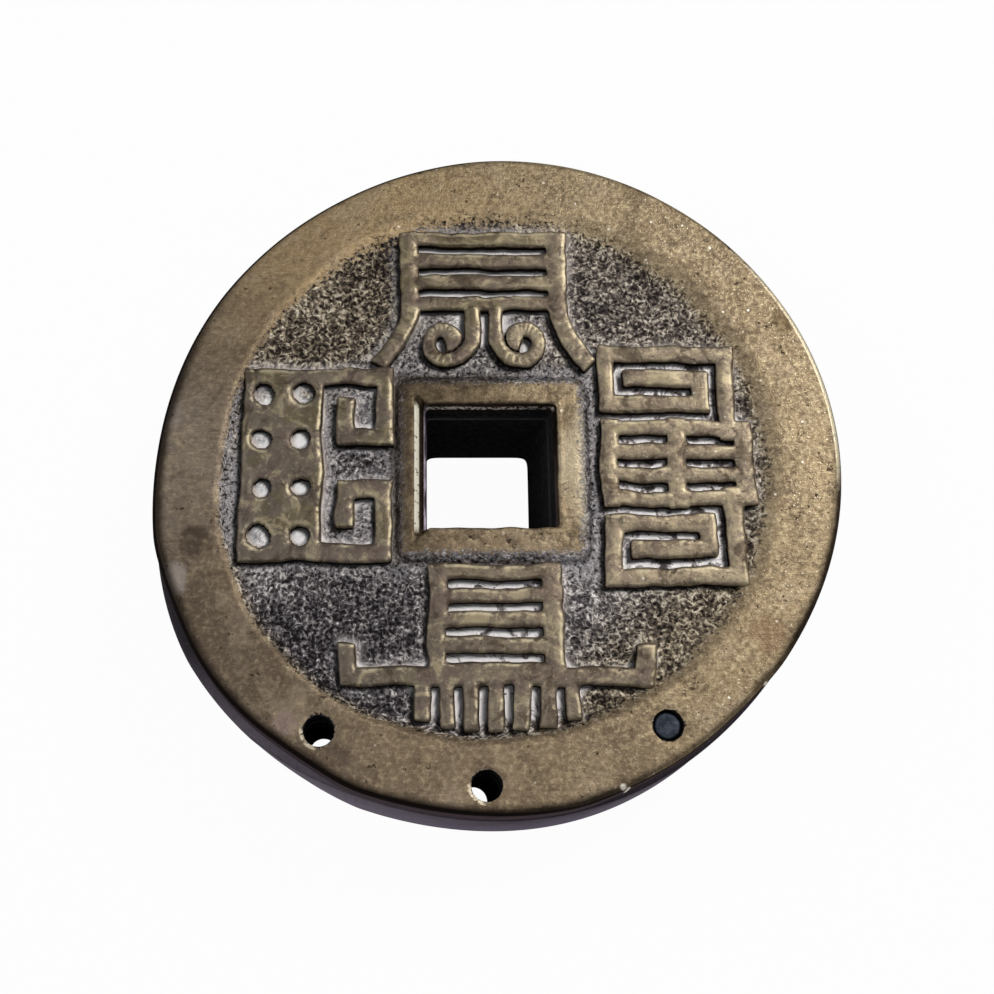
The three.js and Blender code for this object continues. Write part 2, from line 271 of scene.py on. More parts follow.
# %% A socket that can be reckoned with
class Sock:
    def __init__(self, paint, socket):
        self.paint, self.socket = paint, socket

    def math(self, kind, first, second=0.0):
        return self.paint.node("ShaderNodeMath", {"operation": kind}, {0: first, 1: second})

    def __add__(self, other):
        return self.math("ADD", self, other)

    def __mul__(self, other):
        return self.math("MULTIPLY", self, other)

    def __sub__(self, other):
        return self.math("SUBTRACT", self, other)

    def __rsub__(self, other):
        return self.math("SUBTRACT", other, self)

    def __truediv__(self, other):
        return self.math("DIVIDE", self, other)

    def __rtruediv__(self, other):
        return self.math("DIVIDE", other, self)

    def __pow__(self, other):
        return self.math("POWER", self, other)

    def __abs__(self):
        return self.math("ABSOLUTE", self)

    __radd__, __rmul__ = __add__, __mul__

    def highest(self, other):
        return self.math("MAXIMUM", self, other)

    def step(self, low, high):
        """Rises smoothly from 0 to 1 while the value goes from low to high, or falls the same
        way where low is the greater."""
        return self.paint.node("ShaderNodeMapRange", {"interpolation_type": "SMOOTHSTEP"},
                               {"Value": self, "From Min": low, "From Max": high})

    def ramp(self, *stops):
        """A colour that follows the value. Each stop is its place, then its screen values."""
        stops = [(place, srgb(*tone)) for place, *tone in stops]
        return self.paint.node("ShaderNodeValToRGB", {"stops": stops}, {"Fac": self})


# %% A material that is written with it
class Paint:
    """A node material with one Principled surface, measured in millimetres."""

    def __init__(self, name):
        self.material = bpy.data.materials.new(name)
        self.material.use_nodes = True
        self.tree = self.material.node_tree
        self.surface = self.tree.nodes["Principled BSDF"]
        where = self.node("ShaderNodeTexCoord", {}, {}, "Object")
        self.mm = self.node("ShaderNodeVectorMath", {"operation": "SCALE"},
                            {0: where, "Scale": 1 / MM})
        parts = self.node("ShaderNodeSeparateXYZ", {}, {0: self.mm}).socket.node.outputs
        self.x, self.y, self.z = (Sock(self, socket) for socket in parts)
        self.square = abs(self.x).highest(abs(self.y))

    def node(self, kind, settings, values, output=0):
        """Adds a node: its settings first, then the values or links of its sockets."""
        node = self.tree.nodes.new(kind)
        for key, value in settings.items():
            if key == "stops":
                while len(node.color_ramp.elements) < len(value):
                    node.color_ramp.elements.new(0.5)
                for stop, (place, colour) in zip(node.color_ramp.elements, value):
                    stop.position, stop.color = place, (*colour, 1)
            else:
                setattr(node, key, value)
        for key, value in values.items():
            if isinstance(value, Sock):
                self.tree.links.new(value.socket, node.inputs[key])
            elif isinstance(value, tuple) and node.inputs[key].type == "RGBA":
                node.inputs[key].default_value = (*value, 1)
            else:
                node.inputs[key].default_value = value
        return Sock(self, node.outputs[output])

    def noise(self, size, detail=3.0, rough=0.6, at=None, twist=0.0):
        """Cloudy values about 0.5, with clouds about one size (mm) across."""
        return self.node("ShaderNodeTexNoise", {}, {
            "Vector": at or self.mm, "Scale": 1 / size, "Detail": detail, "Roughness": rough,
            "Distortion": twist})

    def cells(self, size):
        """Distance to the nearest of many scattered points, in parts of the size."""
        return self.node("ShaderNodeTexVoronoi", {}, {"Vector": self.mm, "Scale": 1 / size})

    def brushed(self, turn, along, across):
        """Places turned about Z and squeezed, so that a pattern runs along one way."""
        return self.node("ShaderNodeMapping", {}, {
            "Vector": self.mm, "Rotation": (0, 0, math.radians(turn)),
            "Scale": (1 / along, 1 / across, 1.0)})

    def mix(self, share, a, b):
        return self.node("ShaderNodeMix", {"data_type": "RGBA"}, {0: share, 6: a, 7: b}, 2)

    def layered(self, colour, *layers):
        """Lays tones over a colour in turn. Each layer is its share, then red, green and blue in
        screen values."""
        for share, *tone in layers:
            colour = self.mix(share, colour, srgb(*tone))
        return colour

    def attribute(self, name):
        return self.node("ShaderNodeAttribute", {"attribute_name": name}, {}, "Fac")

    def away(self, x, y):
        """How far each place is, seen from above, from one place on the coin."""
        return ((self.x - x) ** 2.0 + (self.y - y) ** 2.0) ** 0.5

    def spot(self, x, y, size):
        """1 near a place on the coin, and 0 from one size away."""
        return self.away(x, y).step(size, size * 0.3)

    def bump(self, height, depth):
        """A normal from a height of 0 to 1, where 1 stands depth millimetres proud."""
        return self.node("ShaderNodeBump", {}, {"Height": height, "Distance": depth * MM})

    def set(self, **sockets):
        for key, value in sockets.items():
            target = self.surface.inputs[key.replace("_", " ")]
            if isinstance(value, Sock):
                self.tree.links.new(value.socket, target)
            else:
                target.default_value = value
        return self.material


def srgb(red, green, blue):
    """A colour given in screen values of 0 to 255, as the shader's linear light."""
    return tuple((c / 255 / 12.92) if c <= 10 else ((c / 255 + 0.055) / 1.055) ** 2.4
                 for c in (red, green, blue))


# %% [markdown]
# ## Rubbed brass
#
# Brass that has been handled for years is never one colour. Here the lower left is brown and
# smooth, and the upper right is a lighter gold: partly rubbed metal and partly painted light,
# as the key lamp stands on that side. Over that lie a mottled grain, brown smudges, faint brush
# marks, dark pits and tiny painted glints. Both the plate and the ornaments wear this finish, so
# it is one function that returns its colour, roughness and height.


# %% Brass
# Each row: the place of a stain, its size, its share and its tone in screen values.
STAINS = ((-24.6, -6.4, 2.2, 0.6, 58, 44, 34), (-26.3, -9.8, 2.2, 0.5, 176, 166, 158),
          (-16.7, -21.4, 1.7, 0.5, 158, 136, 130), (-12.4, -24.0, 1.7, 0.5, 76, 60, 54),
          (21.2, 20.4, 0.9, 0.85, 40, 32, 24), (25.2, 12.9, 1.6, 0.5, 90, 74, 48),
          (22.0, -14.3, 2.6, 0.45, 112, 82, 60), (-27.6, 4.5, 2.4, 0.35, 170, 160, 152),
          (13.0, 25.4, 2.0, 0.4, 92, 78, 60))


def rubbed_brass(p):
    cloud = p.noise(5.0)
    # Partly painted light: lit grows towards the upper right, the side of the key lamp, and the
    # colour lightens with it.
    lit = (p.x * 0.8 + p.y * 0.42) * (1 / RADIUS) + (cloud - 0.5) * 0.9
    warm = (lit * 0.5 + 0.5).ramp((0.08, 116, 101, 85), (0.35, 136, 118, 95),
                                  (0.62, 153, 134, 105), (0.92, 164, 145, 115))
    stain, smudge = p.noise(3.6, twist=0.5), p.noise(1.9, 4.0, 0.65, twist=0.8)
    mottle, grain = p.noise(0.42, 3.0, 0.7), p.noise(0.17, 2.0, 0.6)
    streak = p.noise(1.0, at=p.brushed(64, 1.7, 0.17))
    # The fine pattern is stronger on the lit side; spark and glint are painted glints there.
    busy = (lit - p.y * 0.008).step(-0.9, 0.8)
    spark, glint = grain.step(0.63, 0.72) * busy, p.cells(1.7).step(0.085, 0.05) * busy
    # The first three spots are painted light and shade by place: lighter at the top, and darker at
    # the upper right and the lower left.
    warm = p.layered(
        warm, (p.spot(-12.0, 24.5, 19.0) * 0.55, 182, 155, 114),
        (p.spot(23.0, 16.0, 20.0) * 0.5, 118, 102, 82),
        (p.spot(-23.0, -17.0, 16.0) * 0.36, 72, 62, 52),
        (p.spot(-28.0, 1.0, 12.0) * 0.3, 158, 148, 138),
        (stain.step(0.52, 0.62) * 0.34, 104, 88, 72), (stain.step(0.46, 0.36) * 0.3, 172, 154, 132),
        (smudge.step(0.5, 0.72) * 0.5, 88, 74, 62), (smudge.step(0.45, 0.26) * 0.4, 178, 160, 128),
        (mottle.step(0.48, 0.7) * (busy * 0.4 + 0.2), 208, 190, 154),
        (mottle.step(0.5, 0.3) * (busy * 0.35 + 0.26), 80, 67, 55),
        (streak.step(0.54, 0.76) * 0.22, 192, 175, 146),
        (streak.step(0.46, 0.26) * 0.28, 84, 72, 60),
        (spark * 0.75, 240, 228, 200), (glint * 0.85, 252, 246, 230))
    for x, y, size, share, *tone in STAINS:
        ragged = (p.spot(x, y, size) + (smudge - 0.5) * 1.6).step(0.3, 0.9)
        warm = p.layered(warm, (ragged * share, *tone))
    pits = p.noise(0.6, 3.0, 0.7).step(0.63, 0.72) * p.noise(3.0, 2.0, 0.5).step(0.42, 0.56)
    warm = p.layered(warm, (pits * 0.8, 52, 38, 30))
    rough = 0.4 + smudge * 0.2 - spark * 0.1
    height = mottle * 0.5 + streak * 0.2 + grain * 0.35 - pits * 0.6
    return warm, rough, height


# %% [markdown]
# ## The cast ground
#
# The ground between the ornaments was never polished. It is dark grey with a fine net of paler
# ridges and tiny bright grains. Towards the rim the grains are rubbed to gold. Close to the
# ornaments the ground is black, partly as dirt and partly as painted shade: a painted cast shadow
# lies on the side of each bar away from the key lamp, a painted highlight on the side towards it,
# and a dark painted crescent in each pit. The narrow slots and pits are painted a pale silver.
# The mesh carries attributes that say where each of these places is.


# %% Plate finish
def plate_finish():
    p = Paint("plate_brass")
    gold, gold_rough, gold_height = rubbed_brass(p)
    lump, near, slot, slope, haze = (
        p.attribute(name) for name in ("lump", "near", "slot", "slope", "haze"))
    # A net of thin ridges, and grains that sit on it.
    weave = p.noise(0.7, 1.0, 0.5, twist=0.8)
    net = abs(weave - 0.5).step(0.1, 0.02)
    fine = p.noise(0.32, 1.5, 0.55)
    grit = fine.step(0.56, 0.7)
    cloud = p.noise(4.5)
    tone = net * 0.3 + fine * 1.35 + lump * 0.3 + cloud * 0.34 - 0.76
    tone = tone + haze * 0.2 + slope * 0.2
    tone = tone + p.spot(-16.0, -8.0, 7.0) * 0.12 - p.spot(-14.0, -16.0, 11.0) * 0.1
    tone = tone + p.spot(8.5, -9.0, 5.5) * 0.16 - p.spot(-5.0, 21.5, 9.0) * 0.26
    grey = tone.ramp((0.08, 30, 27, 29), (0.34, 84, 79, 82),
                     (0.56, 142, 136, 134), (0.85, 232, 226, 222))
    tawny = tone.ramp((0.08, 34, 28, 22), (0.34, 96, 84, 66),
                      (0.56, 160, 144, 114), (0.85, 236, 222, 192))
    lit = (p.x + p.y * 1.3) * 0.022 + cloud * 0.6
    upper_left = (p.y * 0.9 - p.x * 0.7).step(12.0, 19.0) * 0.65
    lower_right = (p.x - p.y).step(18.0, 30.0) * 0.7
    golden = lit.step(0.25, 1.1) * 0.4 + slope * 0.9
    crust = p.mix(golden.highest(upper_left).highest(lower_right), grey, tawny)
    # Paler grey near the collar, close to the ornaments and at the left.
    pale = (p.square + (cloud - 0.5) * 3).step(10.2, 8.6) * (p.x.step(-4.0, 8.0) * 0.35 + 0.4)
    mirk = haze * (p.x * -0.05 + p.y * 0.025).step(-0.2, 0.7)
    mist = p.x.step(-19.3, -20.6) * abs(p.y - 1.0).step(11.5, 6.0) * 0.8
    pale = pale.highest(mirk * 0.85).highest(mist) * fine.step(0.32, 0.56)
    crust = p.layered(crust, (pale, 172, 168, 170))
    stain = p.noise(1.3, 3.0, 0.7, twist=0.6) + p.x * -0.0055 + p.y * 0.001
    silver = stain.ramp((0.3, 70, 64, 65), (0.37, 170, 162, 162),
                        (0.42, 255, 252, 252))
    crust = p.mix(slot * 0.95, crust, silver)
    # A painted highlight on the side of each bar towards the key lamp, then black by the bars:
    # partly dirt, and partly painted shade and painted cast shadow.
    crust = p.layered(crust, (p.attribute("wiped") * stain.step(0.38, 0.5), 240, 232, 228),
                      (near * 0.95, 14, 12, 12))
    # The rim begins where the slope ends.
    left = p.x.step(-6.0, -18.0)
    ray = p.noise(1.0, 2.0, 0.6, at=p.brushed(64, 1.8, 0.3))
    rub = slope * (left * 1.2 + 1.7) - left * 1.15 - 0.35 + (cloud - 0.5) * 0.5
    rub = rub + (fine - 0.5) * (upper_left * 2.0 + 1.9) + (ray - 0.5) * 1.8
    rub = rub.step(0.05, 0.95).highest(slope.step(0.86, 1.0))
    rub = rub.highest((p.square + (fine - 0.5) * 1.3).step(7.75, 7.05))
    colour = p.mix(rub, crust, gold)
    # The collar is brown, darker at the top and the left, with dark blotches, and it has a painted
    # highlight on the right, the side of the key lamp.
    collar = p.square.step(8.9, 8.0) * p.z.step(11.0, 12.0)
    collar_dark = (cloud * 0.9 - p.x * 0.07 + p.y * 0.03).step(0.3, 1.05)
    blotch = p.noise(1.1, 4.0, 0.7).step(0.5, 0.62)
    collar_highlight = collar * (p.x - abs(p.y) * 0.5 + fine).step(4.5, 6.6) * p.square.step(8.2, 7.4)
    # Inside its edge it is painted dark as shade, with a painted cream highlight on the left, a pale
    # violet painted highlight lower on the left wall, and broken painted white highlights at the
    # top.
    inner_shade = (p.square + (fine - 0.5) * 0.3).step(6.0, 5.7) * p.z.step(12.82, 12.6)
    lip_highlight = p.x.step(-5.7, -5.62) * p.x.step(-5.2, -5.35) * (abs(p.y) + fine * 0.6).step(5.9, 5.3)
    cream_highlight = p.x.step(-6.0, -6.1) * p.x.step(-6.5, -6.4) * (abs(p.y) + fine * 0.8).step(6.3, 5.6)
    cream_highlight = cream_highlight * p.z.step(11.2, 11.8)
    broken_highlight = p.y.step(5.0, 5.3) * p.square.step(5.7, 5.55) * p.z.step(12.25, 12.1)
    colour = p.layered(
        colour, (collar * collar_dark * 0.66, 62, 51, 37), (collar * blotch * 0.45, 52, 42, 32),
        (collar_highlight * 0.5, 206, 192, 164), (inner_shade * 0.9, 38, 28, 20),
        (lip_highlight * p.z.step(10.8, 11.2), 196, 184, 200), (cream_highlight * fine.step(0.28, 0.42), 255, 248, 228),
        (broken_highlight * fine.step(0.42, 0.55), 196, 190, 184))
    # The outer edge: a thin bright line, partly rubbed metal and partly painted highlight, then the
    # rounded edge painted dark as shade on the lower half, and a side painted dark as shade.
    brink, far_left = p.attribute("brink"), p.x.step(-20.0, -27.0)
    lower = (p.y - p.x * 0.1).step(5.0, -8.0)
    lower = (lower * (1 - p.spot(18.0, -23.0, 11.0) * 0.7)).highest(far_left)
    shade = (brink + (cloud - 0.5) * 0.4 + far_left * 0.14).step(0.3, 0.84)
    worn = brink.step(0.64, 0.7) * brink.step(0.93, 0.85) * (p.y + fine * 4).step(-1.0, 4.0)
    worn = worn * (p.x * 0.1 - p.y * 0.03 + fine * 1.2).step(2.0, 2.9)
    side = (brink + p.x.step(12.0, -8.0) * 0.15).step(0.88, 0.975)
    colour = p.layered(
        colour, (shade * (lower * 0.85 + 0.15) * 0.92, 38, 30, 25), (worn * 0.9, 240, 228, 198),
        (side * 0.97, 26, 20, 18), (p.z.step(12.6, 11.8) * side * 0.8, 74, 65, 71))
    # Painted highlights: on the lower left arris of the open bores' chipped mouths, and on burrs at
    # the lower right.
    for bore in BORES[:2]:
        chip_highlight = ((bore.x - p.x) * 0.8 + (bore.y - p.y) * 0.6).step(0.9, 1.2)
        chip_highlight = chip_highlight * p.away(bore.x, bore.y).step(1.62, 1.5) * fine.step(0.36, 0.5)
        colour = p.layered(colour, (chip_highlight * 0.85, 222, 210, 184))
    for x, y, size in ((10.0, -26.4, 0.35), (10.5, -26.6, 0.28), (21.8, -18.3, 0.32)):
        colour = p.layered(colour, (p.spot(x, y, size), 244, 236, 220))
    rough = gold_rough * rub + (0.56 - slot * 0.2) * (1 - rub)
    rugged = (fine * 1.2 + net * 0.4 + grit * 0.4) * (1 - slot * 0.7)
    height = rub * gold_height + (1 - rub) * rugged
    return p.set(Base_Color=colour, Roughness=rough + side * 0.2,
                 Metallic=(0.88 - cream_highlight - slot * (1 - rub) * 0.7).highest(0.0),
                 Normal=p.bump(height, 0.09),
                 Specular_Tint=(0.36, 0.32, 0.3, 1.0))


# %% Ornament finish
def relief_finish():
    p = Paint("relief_brass")
    gold, rough, height = rubbed_brass(p)
    olive, edge = p.noise(2.0, 4.0, 0.65, twist=0.7), p.noise(0.5)
    left = (p.x * -0.05 + p.y * 0.02 + (olive - 0.5) * 2.2).step(-0.7, 0.6)
    patch = p.noise(3.2)
    # Darker towards the left, and a little towards the top: partly painted shade, as on the rim's
    # brass.
    top = p.layered(
        gold, (0.08 + left * 0.5, 74, 62, 46), (0.2, 146, 143, 142),
        (p.y.step(-9.0, -14.0) * 0.2, 52, 46, 40), (patch.step(0.5, 0.6) * left * 0.5, 102, 92, 62),
        (patch.step(0.47, 0.37) * 0.5, 106, 90, 84), (olive.step(0.47, 0.35) * 0.65, 68, 56, 46),
        (olive.step(0.52, 0.64) * 0.5, 192, 177, 143), (edge.step(0.6, 0.72) * 0.4, 196, 182, 150))
    # The walls are black where they face away from the key lamp, partly as dirt and partly as
    # painted shade, and painted pale where they face it; the shoulders get bright patches, partly
    # rubbed metal and partly painted highlight, stronger on the side of the lamp.
    rim, facing = p.attribute("inside"), p.attribute("facing")
    shoulder = rim.step(0.04, 0.16) * rim.step(0.45, 0.2) * p.z.step(12.5, 12.68)
    shoulder = shoulder * (facing.step(-0.2, 0.7) * 0.85 + 0.15)
    shoulder = shoulder * (olive * 0.9 + patch * 0.9 + edge * 0.5).step(1.08, 1.24)
    wall = (p.z + (edge - 0.5) * 0.16).step(12.72, 12.56)
    lit_wall_share = facing.step(0.2, 0.7) * olive.step(0.3, 0.42)
    walls = p.mix(lit_wall_share, srgb(14, 12, 12), srgb(216, 206, 196))
    colour = p.mix(wall * 0.97, p.layered(top, (shoulder * 0.75, 214, 200, 168)), walls)
    return p.set(Base_Color=colour, Roughness=rough + wall * 0.25, Metallic=0.88,
                 Normal=p.bump(height, 0.06), Specular_Tint=(0.5, 0.46, 0.42, 1.0))


plate_brass, relief_brass = plate_finish(), relief_finish()
print("brass nodes", len(plate_brass.node_tree.nodes), len(relief_brass.node_tree.nodes))

# %% [markdown]
# ## Dark metals, dirt and painted shade
#
# The back disc is a plain grey-violet metal, darkest below the plate, with faint upright marks
# from finishing. The joining layer is nearly black and matt, and so are the walls of the opening
# and the bores, dark partly from old dirt and partly as painted shade in these recesses. The pin
# is a bluish, darkened steel with a scratched end.


# %% The other finishes
def back_metal():
    p = Paint("back_metal")
    smudge, grain = p.noise(3.0, 4.0, 0.6), p.noise(0.25, 2.0, 0.6)
    upright = p.node("ShaderNodeMapping", {}, {"Vector": p.mm, "Scale": (2.6, 2.6, 0.12)})
    marks = p.noise(1.0, at=upright)
    colour = p.mix((p.z + smudge * 3).step(11.5, 3.0), srgb(60, 54, 59), srgb(96, 89, 101))
    colour = p.layered(
        colour, (p.x.step(4.0, -18.0) * 0.5, 122, 114, 123),
        (p.x.step(-10.0, -16.0) * p.y.step(-21.0, -14.0) * 0.8, 30, 27, 29),
        (marks.step(0.5, 0.75) * 0.4, 56, 51, 56), (grain.step(0.62, 0.75) * 0.4, 112, 105, 114))
    return p.set(Base_Color=colour, Roughness=0.45 + smudge * 0.2, Metallic=0.85,
                 Normal=p.bump(marks * 0.4 + grain * 0.3 + smudge * 0.3, 0.08),
                 Specular_Tint=(0.34, 0.31, 0.37, 1.0))


def dark_matt(name, low, high, specular):
    p = Paint(name)
    crumb = p.noise(0.5)
    return p.set(Base_Color=p.mix(crumb.step(0.35, 0.7), srgb(*low), srgb(*high)),
                 Specular_IOR_Level=specular, Roughness=0.75 + crumb * 0.2,
                 Normal=p.bump(crumb, 0.06))


def pin_steel():
    p = Paint("pin_steel")
    scratch = p.noise(1.0, at=p.brushed(35, 1.4, 0.08))
    smudge = p.noise(0.7)
    colour = p.mix(smudge.step(0.35, 0.7), srgb(44, 49, 57), srgb(74, 80, 90))
    colour = p.layered(colour, (scratch.step(0.58, 0.72) * 0.4, 120, 124, 130),
                       (p.z.step(12.3, 11.6), 24, 23, 24))
    return p.set(Base_Color=colour, Roughness=0.4 + smudge * 0.25, Metallic=0.9,
                 Normal=p.bump(scratch, 0.03))


back_paint, pin_paint = back_metal(), pin_steel()
seam_paint = dark_matt("seam_bond", (18, 15, 16), (40, 35, 36), 0.3)
mouth_dirt_and_shade = dark_matt("mouth_dirt_and_shade", (34, 34, 36), (50, 49, 48), 0.0)

# %% [markdown]
# ## The drawing of the ornaments
#
# Each ornament is a set of straight bars in its own plane: U runs across it, V runs out from
# the middle of the coin. The patterns are the old thunder fret, cloud scroll, lattice and
# studded panel, mirrored about the line to the centre. The same bars are used twice: they make
# the raised pieces, and they tell the ground between them where it is sheltered.


# %% Bars of the four ornaments
def pair(bars):
    """The bars and their mirror images."""
    return bars + [((-a[0], a[1]), (-b[0], b[1]), w) for a, b, w in bars]


def path(points, width):
    return [(a, b, width) for a, b in zip(points, points[1:])]


def reeds(low, count, half):
    """Parallel bars across an ornament, tied by a post at either side."""
    rows = [low + REED / 2 + i * PITCH for i in range(count)]
    end, post, high = half - 0.5, half - STROKE / 2, rows[-1] + REED / 2
    bars = [((-end, v), (end, v), REED) for v in rows]
    return bars + pair([((post, low + 0.6), (post, high - 0.6), STROKE)])


def canopy():
    eave = OUTER_REACH - 3 * PITCH - REED
    root = eave + STROKE / 2
    middle = (root + INNER_REACH) / 2
    leg, hip, foot = [], 6.5, 8.9
    for i in range(9):
        t = i / 8
        leg.append((hip + (foot - hip) * t * t,
                    (1 - t) ** 2 * root + 2 * t * (1 - t) * middle + t * t * (INNER_REACH + 0.5)))
    wide, tight = 2.2, 0.36
    centre_u, centre_v = PITCH / 2 + wide, INNER_REACH + wide + REED / 2
    curl = [(PITCH / 2, root)]
    for i in range(25):
        turn = math.pi * (1 + 2.3 * i / 24)
        reach = wide - (wide - tight) * i / 24
        curl.append((centre_u + reach * math.cos(turn), centre_v + reach * math.sin(turn)))
    return reeds(eave, 4, 7.2) + pair(path(leg, STROKE) + path(curl, REED))


def studs():
    """A panel for two rows of four pits, with a hook at either side."""
    half, deep = 8.4, 6.8
    root = OUTER_REACH - deep
    bars = [((deep / 2 - half, root + deep / 2), (half - deep / 2, root + deep / 2), deep)]
    far, near, tip = half - STROKE / 2, half - STROKE / 2 - 5.4, INNER_REACH + STROKE / 2
    back = (tip + root) / 2 + STROKE / 2
    hook = [(far, root + STROKE / 2), (far, tip), (near, tip), (near, back),
            ((near + far) / 2, back)]
    return bars + pair(path(hook, STROKE))


def altar():
    shelf = INNER_REACH + 4 * PITCH + REED
    arm = [(12.0, shelf - 2.0), (12.0, shelf), (0.0, shelf)]
    teeth = []
    for i in range(7):
        u = PITCH * (i - 3)
        teeth.append(((u, shelf), (u, math.sqrt((FIELD_RADIUS - 0.9) ** 2 - u * u)), REED))
    return reeds(INNER_REACH, 5, 5.4) + pair(path(arm, STROKE)) + teeth


def lattice():
    half = (3 * PITCH + REED) / 2
    bars = []
    for i in range(4):
        u = -half + REED / 2 + i * PITCH
        bars.append(((u, INNER_REACH + 0.6), (u, OUTER_REACH - 0.6), REED))
    for v in (INNER_REACH + STROKE / 2, (INNER_REACH + OUTER_REACH) / 2, OUTER_REACH - STROKE / 2):
        bars.append(((-half + 0.5, v), (half - 0.5, v), STROKE))
    near, wide = half + GROOVE + STROKE / 2, 4.6
    far, tip, root = near + wide, INNER_REACH + STROKE / 2, OUTER_REACH - 1.9
    back, middle = root - STROKE - GROOVE, near + wide / 2
    spiral = [(half - STROKE / 2, root), (far, root), (far, tip), (near, tip), (near, back),
              (middle, back), (middle, tip + STROKE + GROOVE)]
    return bars + pair(path(spiral, STROKE))


def laid(bars, turn, shift):
    """The bars turned about the middle of the coin and nudged, as pairs of points in X and Y."""
    spin = Matrix.Rotation(math.radians(turn), 2)
    return [(spin @ Vector(a) + Vector(shift), spin @ Vector(b) + Vector(shift), w)
            for a, b, w in bars]


STUDS_SHIFT = (0.4, 0.3)
ORNAMENTS = {"canopy": laid(canopy(), 0, (-0.5, 0.0)), "studs": laid(studs(), 90, STUDS_SHIFT),
             "altar": laid(altar(), 180, (0.2, 0.1)), "lattice": laid(lattice(), 270, (0.6, 0.3))}
PITS = [a for a, b, w in laid([((4.2 * i - 6.3, 16.3 + 3.4 * j), (0, 0), 0)
                               for i in range(4) for j in range(2)], 90, STUDS_SHIFT)]
PIT_RADII = (0.95, 1.02, 0.9, 0.97, 0.93, 1.0, 1.08, 1.02)
print({name: len(bars) for name, bars in ORNAMENTS.items()}, "pits", len(PITS))


# %% [markdown]
# ## Where the ground is sheltered
#
# Wear, dirt and the painted light and shade follow the relief, so two things are measured for each
# place on the ground: how far it is from the nearest bar, and how much of the ground round it is
# covered by bars. A slot or a pit is a bare place with bars on most sides.

# %% Distance and shelter
# The way towards the key lamp, seen from above: painted shadows fall away from it, and painted
# highlights face it.
TOWARD_KEY = np.array((0.78, 0.62))


def overhang(long, width):
    """How far a bar runs past its two ends together: squarely, or little in a curve."""
    return width * 0.98 if long > width else width * 0.26


def strayed(points):
    """How far the hand of the carver strays at each place."""
    flat = np.column_stack([points[:, :2], np.zeros(len(points))])
    return np.stack([0.3 * lumps(flat, 4.0, 31 + i) + 0.13 * lumps(flat, 1.4, 33 + i)
                     for i in (0, 1)], 1)


def gap_to_bars(flat, bars=None):
    """Distance from each point to the edge of the nearest bar, negative inside one. A pit is
    outside."""
    best = np.full(len(flat), 99.0)
    for a, b, width in bars or sum(ORNAMENTS.values(), []):
        a, b = np.array(a), np.array(b)
        long = np.linalg.norm(b - a)
        run = (b - a) / long
        away = flat - (a + b) / 2
        beside = np.abs(away @ run) - (long + overhang(long, width)) / 2
        across = np.abs(away @ np.array([-run[1], run[0]])) - width / 2
        outer = np.hypot(np.maximum(beside, 0), np.maximum(across, 0))
        best = np.minimum(best, outer + np.minimum(np.maximum(beside, across), 0))
    for pit, radius in zip(PITS, PIT_RADII):
        best = np.maximum(best, radius - np.linalg.norm(flat - np.array(pit), axis=1))
    return best


def shelter(flat, spread, cells=480, size=0.1):
    """The share of bars in a soft round window about each point."""
    axis = (np.arange(cells) + 0.5 - cells / 2) * size
    grid = np.stack(np.meshgrid(axis, axis, indexing="ij"), -1).reshape(-1, 2)
    filled = (gap_to_bars(grid) < 0).astype(float).reshape(cells, cells)
    wave = np.fft.fftfreq(cells, size) ** 2
    window = np.exp(-2 * (math.pi * spread) ** 2 * (wave[:, None] + wave[None, :]))
    soft = np.real(np.fft.ifft2(np.fft.fft2(filled) * window))
    index = np.clip((flat / size + cells / 2).astype(int), 0, cells - 1)
    return soft[index[:, 0], index[:, 1]]


# %% [markdown]
# ## The plate
#
# The plate could be modelled as a disc with a square cut, but a cast coin flows: the round rim
# slopes into the ground and the ground climbs into a square collar. So one profile is drawn
# from the opening out to the edge and back underneath, and spun all the way round. Then its
# rings are shaped, the slope and the lumps of the casting are pressed into it, and a few dents.


# %% Profile and rings
def plate_profile():
    wall = [(opening_at(PLATE_LOW), PLATE_LOW), (OPENING, COLLAR_TOP - OPENING_ROUND)]
    top = arc(OPENING + OPENING_ROUND, COLLAR_TOP - OPENING_ROUND, OPENING_ROUND, 180, 90, 4)
    top += [Vector((COLLAR_OUTER - COLLAR_SLOPE * (1 - q.x), FIELD_Z + (COLLAR_TOP - FIELD_Z) * q.y))
            for q in arc(0, 0, 1.0, 90, 12, 8)]
    ground = [(COLLAR_OUTER + 0.15, FIELD_Z), (FIELD_RADIUS + 1.4, FIELD_Z)]
    high, low = side_at(TOP) - PLATE_INSET, side_at(PLATE_LOW) - PLATE_INSET
    rim = [(FIELD_RADIUS + 1.65, TOP), (high - EDGE_ROUND, TOP)]
    edge = arc(high - EDGE_ROUND, TOP - EDGE_ROUND, EDGE_ROUND, 80, 0, 6)
    return (walk(wall, 0.25)[:-1] + walk(top, 0.2)
            + walk(ground, 0.155) + walk(rim, 0.24)
            + edge + walk([edge[-1], (low, PLATE_LOW)], 0.4)[1:]
            + walk([(low, PLATE_LOW), (opening_at(PLATE_LOW), PLATE_LOW)], 5.0)[1:-1])


sides = 560
bm = turned(plate_profile(), sides)
points = points_of(bm)
reach, turn = polar(points)
face = (points[:, 2] > PLATE_LOW + 1.0) & (reach > COLLAR_OUTER + 0.2)
flat_face = face & (reach < side_at(TOP) - PLATE_INSET - EDGE_ROUND + 0.01)
brink = np.clip((reach - side_at(TOP) + PLATE_INSET) / 1.6 + 1, 0, 1)
brink *= points[:, 2] > PLATE_LOW - 0.01
